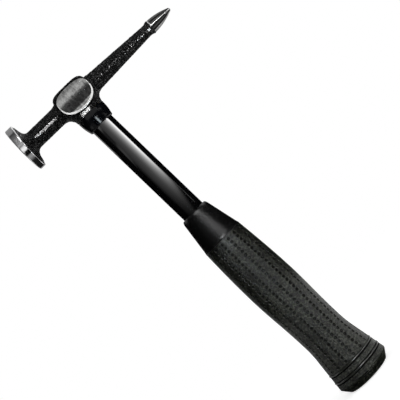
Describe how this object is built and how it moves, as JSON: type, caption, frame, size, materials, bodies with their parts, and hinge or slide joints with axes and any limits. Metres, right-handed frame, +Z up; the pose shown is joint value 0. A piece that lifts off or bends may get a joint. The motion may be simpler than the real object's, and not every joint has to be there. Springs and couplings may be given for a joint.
{
  "type": "auto body hammer",
  "caption": "Panel-beating hammer: round polished striking face, square-section pick with a four-sided point, tubular steel handle with a perforated rubber grip.",
  "frame": {"origin": "where the handle's axis meets the flat butt of the grip", "axes": "+Z up the handle's axis to the head, +X towards the pick point, -X towards the striking face, Y across the cheeks"},
  "size_m": [0.1519, 0.046, 0.3178],
  "materials": {
    "head_coat": "black wrinkle coat on forged steel, with the face, the pick point and the cheek pads ground bare",
    "tube_gloss": "gloss black enamel on drawn steel tube",
    "collar_plastic": "satin black moulded plastic",
    "bond_resin": "cured amber resin",
    "core_wood": "turned hardwood",
    "bare_steel": "ground and polished bare steel",
    "grip_rubber": "matte black moulded rubber with a fine stipple and moulded dimples",
    "plug_plastic": "moulded black nylon"
  },
  "bodies": {
    "root": {"hammer_head": "head_coat", "handle_tube": "tube_gloss", "collar": "collar_plastic", "eye_bond": "bond_resin", "core_plug": "core_wood", "eye_wedge": "bare_steel", "grip": "grip_rubber", "end_plug": "plug_plastic"}
  },
  "joints": []
}
